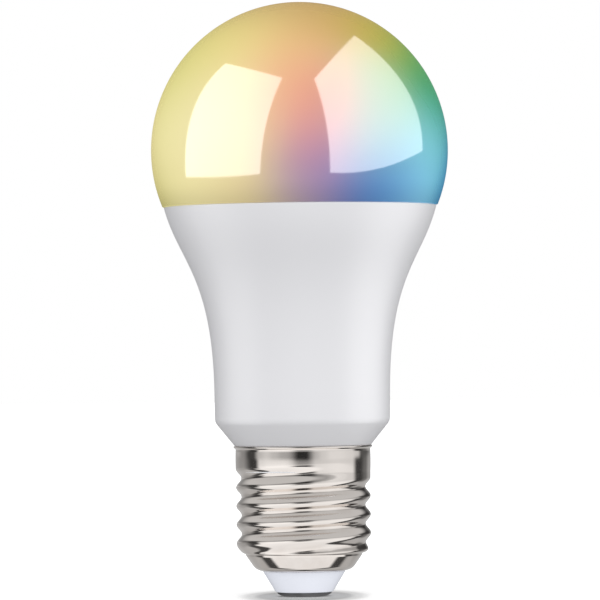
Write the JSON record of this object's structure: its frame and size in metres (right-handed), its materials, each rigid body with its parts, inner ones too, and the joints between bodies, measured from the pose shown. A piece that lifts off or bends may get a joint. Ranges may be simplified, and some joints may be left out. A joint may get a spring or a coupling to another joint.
{
  "type": "smart light bulb",
  "caption": "Colour-changing smart light bulb: round opal globe on a flared white body, with a nickel-plated E27 screw cap.",
  "frame": {"origin": "centre of the contact's lower face, at the tip of the screw cap", "axes": "+Z along the bulb's axis, from the cap up to the globe; -Y is the side seen in the front view and +X is to its right"},
  "size_m": [0.058, 0.058, 0.116],
  "materials": {
    "opal_globe": "glossy opal, lit from inside in changing colours",
    "white_housing": "satin moulded",
    "nickel_plate": "polished nickel plate",
    "insulator": "smooth moulded",
    "contact_metal": "dull tinned",
    "silicone": "soft matte",
    "drawn_aluminium": "drawn satin",
    "thermal_pad": "soft matte",
    "led_board_mask": "white solder mask on an aluminium core",
    "warm_phosphor": "silicone over phosphor",
    "cool_phosphor": "silicone over phosphor",
    "led_package": "moulded white with a clear window",
    "screw_steel": "zinc plated",
    "fibreglass_board": "green solder mask",
    "radio_board": "dark blue solder mask",
    "black_moulding": "moulded epoxy",
    "gold_pins": "gold plated",
    "tinned_can": "tinned sheet",
    "copper": "enamelled copper",
    "resistor_coat": "lacquered",
    "varistor_coat": "dipped epoxy",
    "film_case": "cast box",
    "capacitor_can": "drawn",
    "capacitor_sleeve": "shrunk sleeve",
    "ferrite": "ground ferrite",
    "winding_tape": "yellow polyester tape",
    "chip_ceramic": "fired ceramic",
    "red_insulation": "extruded"
  },
  "bodies": {
    "root": {"diffuser_globe": "opal_globe", "globe_seal_ring": "silicone", "housing_shell": "white_housing", "heat_sink_cup": "drawn_aluminium", "thermal_pad": "thermal_pad", "led_board": "led_board_mask", "warm_white_leds": "warm_phosphor", "cool_white_leds": "cool_phosphor", "colour_leds": "led_package", "led_board_screws": "screw_steel", "driver_board": "fibreglass_board", "link_header": "black_moulding", "link_pins": "gold_pins", "radio_module": "radio_board", "radio_shield_can": "tinned_can", "radio_aerial": "copper", "radio_pins": "gold_pins", "bridge_rectifier": "black_moulding", "fusible_resistor": "resistor_coat", "varistor": "varistor_coat", "film_capacitor": "film_case", "bulk_capacitor_can": "capacitor_can", "bulk_capacitor_sleeve": "capacitor_sleeve", "output_capacitor_can": "capacitor_can", "output_capacitor_sleeve": "capacitor_sleeve", "transformer_core": "ferrite", "transformer_bobbin": "black_moulding", "transformer_winding": "winding_tape", "line_choke_core": "ferrite", "line_choke_winding": "copper", "power_ic": "black_moulding", "dimming_ic": "black_moulding", "rectifier_diodes": "black_moulding", "smd_passives": "chip_ceramic", "component_leads": "tinned_can", "live_lead": "red_insulation", "neutral_lead": "tinned_can", "screw_shell": "nickel_plate", "cap_insulator": "insulator", "centre_contact": "contact_metal", "contact_rivet": "contact_metal"}
  },
  "joints": []
}
